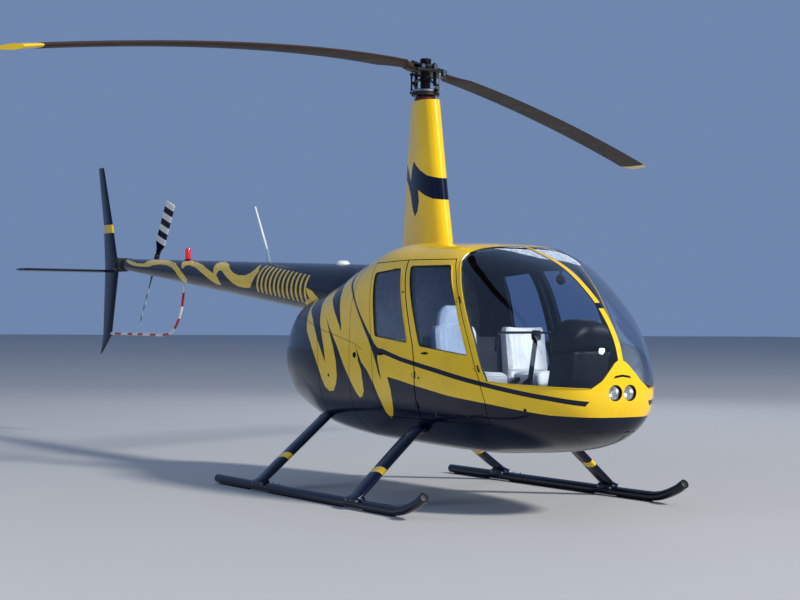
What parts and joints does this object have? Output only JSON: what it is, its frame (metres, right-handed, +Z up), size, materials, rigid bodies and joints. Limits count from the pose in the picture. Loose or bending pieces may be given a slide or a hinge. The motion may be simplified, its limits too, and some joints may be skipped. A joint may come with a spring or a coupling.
{
  "type": "light four-seat helicopter on skids",
  "caption": "Light piston helicopter standing on skids, with a teetering main rotor, a tail rotor on the left, opening cabin doors and a furnished cabin behind clear glass.",
  "frame": {"origin": "bottom centre of the whole model's bounding box, on the ground under the rotor's middle footprint", "axes": "+X points to the nose, +Y to the pilot's left, +Z up"},
  "size_m": [9.227, 8.5936, 3.277],
  "materials": {
    "yellow_paint": "gloss",
    "black_paint": "gloss",
    "blade_paint": "satin",
    "striped_paint": "satin",
    "red_paint": "gloss",
    "clear_acrylic": "polished",
    "lamp_glass": "polished",
    "cream_leather": "soft",
    "dark_trim": "matte",
    "bare_steel": "brushed",
    "cast_metal": "cast"
  },
  "bodies": {
    "root": {"cabin_tub": "yellow_paint", "cabin_frame": "yellow_paint", "landing_lights": "lamp_glass", "windshield_right": "clear_acrylic", "windshield_left": "clear_acrylic", "windshield_strip": "yellow_paint", "engine_cowl": "black_paint", "firewall": "dark_trim", "engine_block": "cast_metal", "cooling_fan": "bare_steel", "exhaust_pipe": "bare_steel", "mast_fairing": "yellow_paint", "swashplate_lower": "cast_metal", "tail_cone": "black_paint", "tail_gearbox": "cast_metal", "vertical_fin": "black_paint", "horizontal_stabilizer": "black_paint", "tail_guard": "red_paint", "cross_tube_front": "black_paint", "cross_tube_rear": "black_paint", "skid_right": "black_paint", "skid_left": "black_paint", "seat_base_front": "dark_trim", "seat_base_rear": "dark_trim", "seat_cushion_front_right": "cream_leather", "seat_cushion_front_left": "cream_leather", "seat_cushion_rear_right": "cream_leather", "seat_cushion_rear_left": "cream_leather", "seat_back_front_right": "cream_leather", "seat_back_front_left": "cream_leather", "seat_back_rear_right": "cream_leather", "seat_back_rear_left": "cream_leather", "instrument_console": "dark_trim", "cyclic_stick": "dark_trim", "collective_levers": "dark_trim"},
    "main_rotor": {"rotor_head": "bare_steel", "swashplate_upper": "bare_steel", "main_blade_near": "blade_paint", "main_blade_far": "blade_paint"},
    "tail_rotor": {"tail_rotor_hub": "bare_steel", "tail_blade_upper": "striped_paint", "tail_blade_lower": "striped_paint"},
    "front_right_door": {"door_front_right": "yellow_paint", "window_front_right": "clear_acrylic"},
    "front_left_door": {"door_front_left": "yellow_paint", "window_front_left": "clear_acrylic"},
    "rear_right_door": {"door_rear_right": "yellow_paint", "window_rear_right": "clear_acrylic"},
    "rear_left_door": {"door_rear_left": "yellow_paint", "window_rear_left": "clear_acrylic"}
  },
  "joints": [
    {"name": "main_rotor_spin", "type": "hinge", "parent": "root", "child": "main_rotor", "pos_m": [1.81655, 0, 3], "axis": [0, 0, 1], "continuous": true},
    {"name": "tail_rotor_spin", "type": "hinge", "parent": "root", "child": "tail_rotor", "pos_m": [-4.06345, 0.41, 1.833], "axis": [0, 1, 0], "continuous": true},
    {"name": "front_right_door_hinge", "type": "hinge", "parent": "root", "child": "front_right_door", "pos_m": [3.45655, -0.618, 0.97], "axis": [-0.4545, 0.0241, 0.8904], "range_deg": [0, 70]},
    {"name": "front_left_door_hinge", "type": "hinge", "parent": "root", "child": "front_left_door", "pos_m": [3.45655, 0.618, 0.97], "axis": [0.4545, 0.0241, -0.8904], "range_deg": [0, 70]},
    {"name": "rear_right_door_hinge", "type": "hinge", "parent": "root", "child": "rear_right_door", "pos_m": [2.70655, -0.652, 0.7], "axis": [0, 0, 1], "range_deg": [0, 70]},
    {"name": "rear_left_door_hinge", "type": "hinge", "parent": "root", "child": "rear_left_door", "pos_m": [2.70655, 0.652, 0.7], "axis": [0, 0, -1], "range_deg": [0, 70]}
  ]
}
